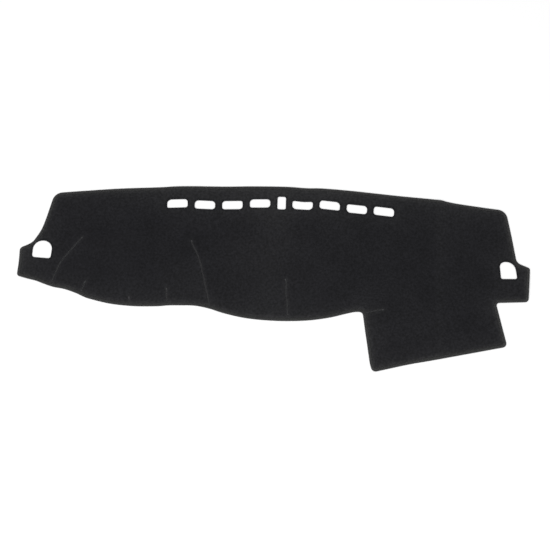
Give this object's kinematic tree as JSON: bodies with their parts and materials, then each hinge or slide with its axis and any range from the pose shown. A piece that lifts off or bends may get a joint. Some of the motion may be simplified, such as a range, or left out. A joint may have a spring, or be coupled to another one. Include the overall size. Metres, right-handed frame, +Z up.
{
  "type": "dashboard cover mat",
  "caption": "Felt mat cut to a car dashboard, with an overlocked edge, a row of defroster slots, side vent holes and stitched darts over the instrument hood.",
  "frame": {"origin": "on the floor, under the middle of the mat's plan", "axes": "+X along the dashboard towards the passenger's side, +Y towards the windscreen, +Z up through the felt to its flocked face"},
  "size_m": [1.4396, 0.539, 0.0179],
  "materials": {
    "flocked_felt": "matt flocked polyester felt",
    "overlock_thread": "textured polyester overlock thread",
    "dart_thread": "spun polyester sewing thread"
  },
  "bodies": {
    "root": {"felt_sheet": "flocked_felt", "edge_overlock": "overlock_thread", "dart_stitching_hood_left": "dart_thread", "dart_stitching_hood_front_1": "dart_thread", "dart_stitching_hood_front_2": "dart_thread", "dart_stitching_hood_front_3": "dart_thread", "dart_stitching_hood_right": "dart_thread", "dart_stitching_centre": "dart_thread", "dart_stitching_flap": "dart_thread"}
  },
  "joints": []
}
